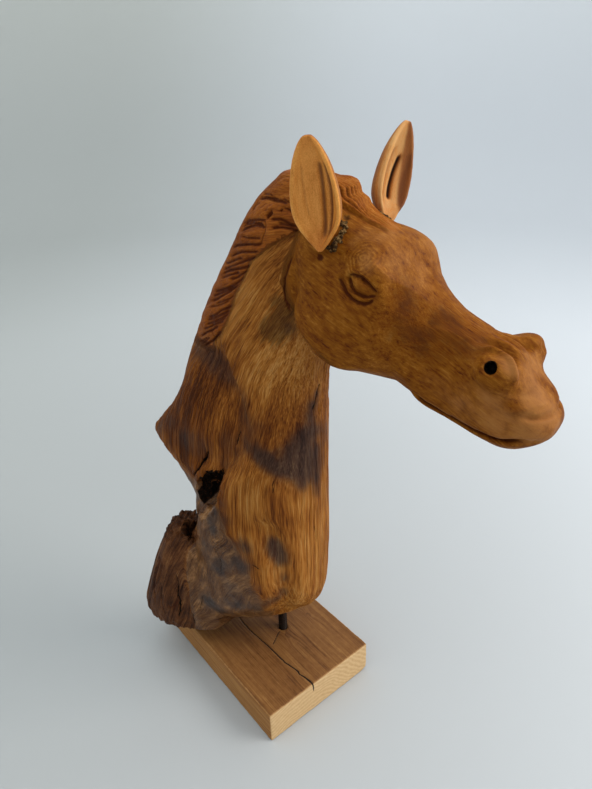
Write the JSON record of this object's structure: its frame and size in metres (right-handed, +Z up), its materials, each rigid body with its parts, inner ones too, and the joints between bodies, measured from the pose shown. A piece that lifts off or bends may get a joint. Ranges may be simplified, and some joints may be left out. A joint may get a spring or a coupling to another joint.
{
  "type": "carved wooden horse head",
  "caption": "Horse head and neck carved from a root, held upright on a short steel rod above a wooden board, as a standing ornament.",
  "frame": {"origin": "middle of the board's underside", "axes": "+Z up, +X the way the horse faces, +Y to the horse's left"},
  "size_m": [0.3865, 0.1701, 0.5528],
  "materials": {
    "carved_wood": "oiled, half matt",
    "ear_wood": "oiled, matt",
    "board_wood": "oiled, matt",
    "dark_steel": "dull, threaded"
  },
  "bodies": {
    "root": {"horse_head": "carved_wood", "right_ear": "ear_wood", "left_ear": "ear_wood", "support_rod": "dark_steel", "base_board": "board_wood"}
  },
  "joints": []
}
